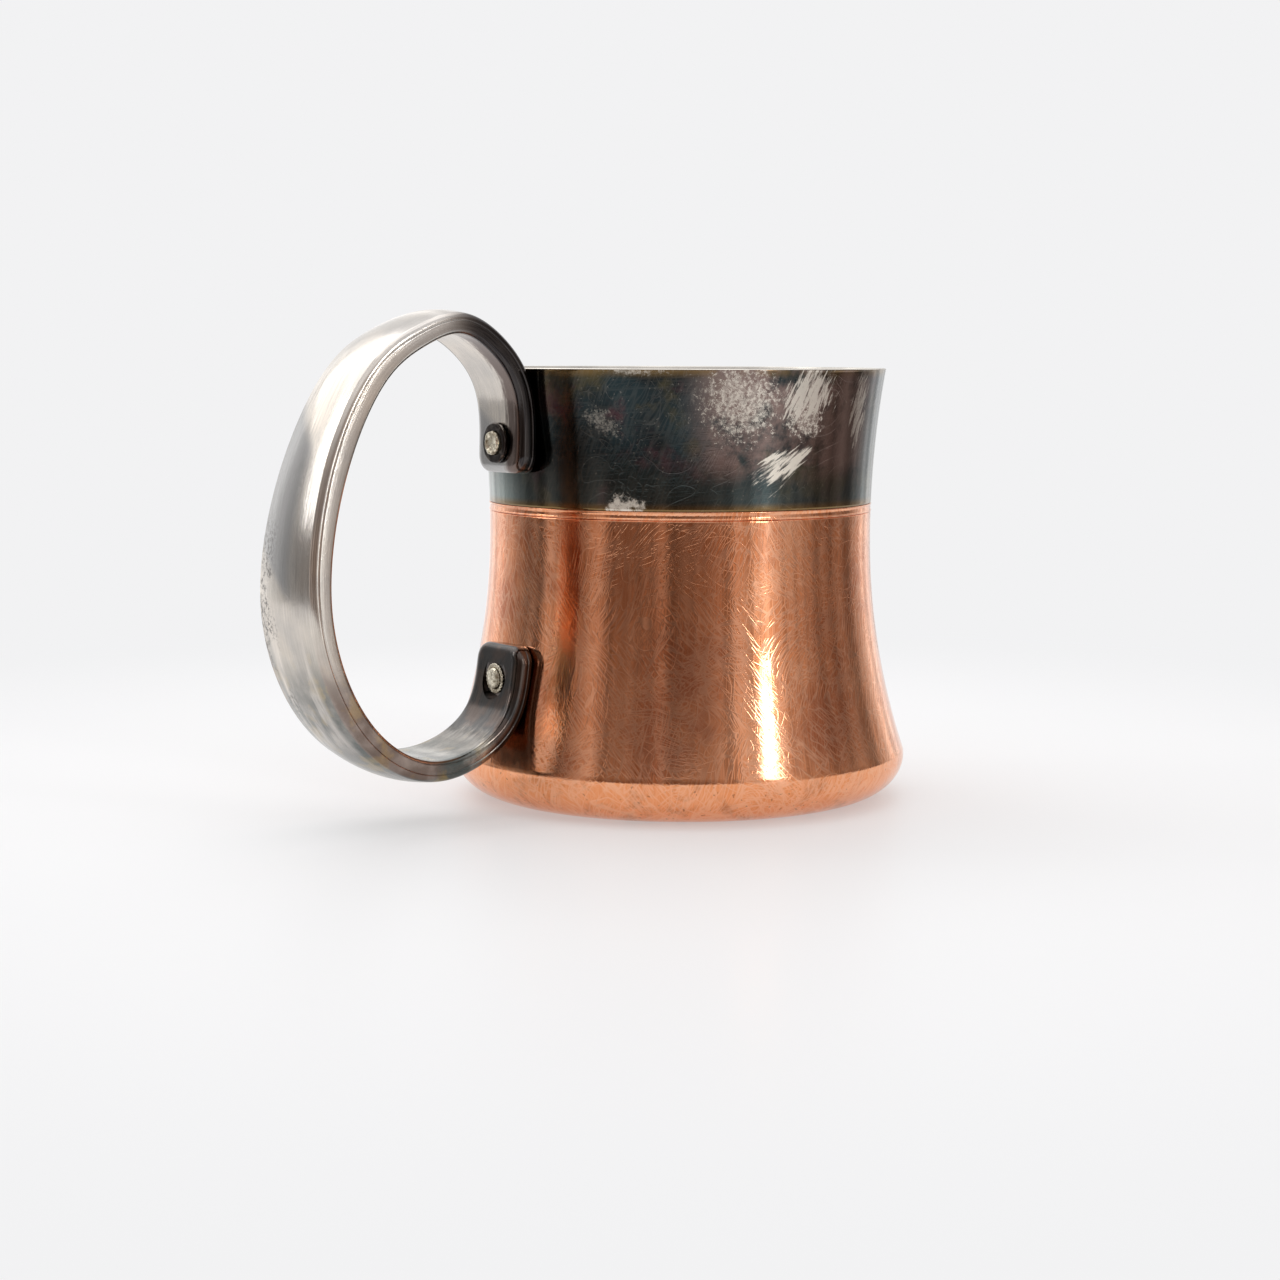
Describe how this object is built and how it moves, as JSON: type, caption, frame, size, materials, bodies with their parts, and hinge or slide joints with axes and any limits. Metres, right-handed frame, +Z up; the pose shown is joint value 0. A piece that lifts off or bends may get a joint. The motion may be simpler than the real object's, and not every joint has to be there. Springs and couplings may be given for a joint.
{
  "type": "copper mug",
  "caption": "Waisted double-walled copper mug with a tarnished silver-plated cup showing as a band below the rim, a rounded foot and a wide riveted strap handle.",
  "frame": {"origin": "centre of the foot ring's flat underside, on the body's axis", "axes": "+Z up along the body's axis; the handle points along +X; +Y completes a right-handed frame"},
  "size_m": [0.1323, 0.0888, 0.0942],
  "materials": {
    "polished_copper": "polished copper, fine scratches",
    "tarnished_silver_plate": "silver plate tarnished blue-black, worn bright in patches",
    "worn_silver_plate": "satin silver plate, brushed and lightly tarnished",
    "rivet_brass": "filed and peened brass",
    "soft_solder": "dull solder"
  },
  "bodies": {
    "root": {"copper_jacket": "polished_copper", "joint_ring": "polished_copper", "joint_solder": "soft_solder", "silver_cup": "tarnished_silver_plate", "base_disc": "polished_copper", "base_solder": "soft_solder", "handle_strap": "worn_silver_plate", "upper_rivet": "rivet_brass", "upper_outer_washer": "worn_silver_plate", "upper_inner_washer": "worn_silver_plate", "lower_rivet": "rivet_brass", "lower_rope_washer": "rivet_brass", "lower_inner_washer": "worn_silver_plate"}
  },
  "joints": []
}
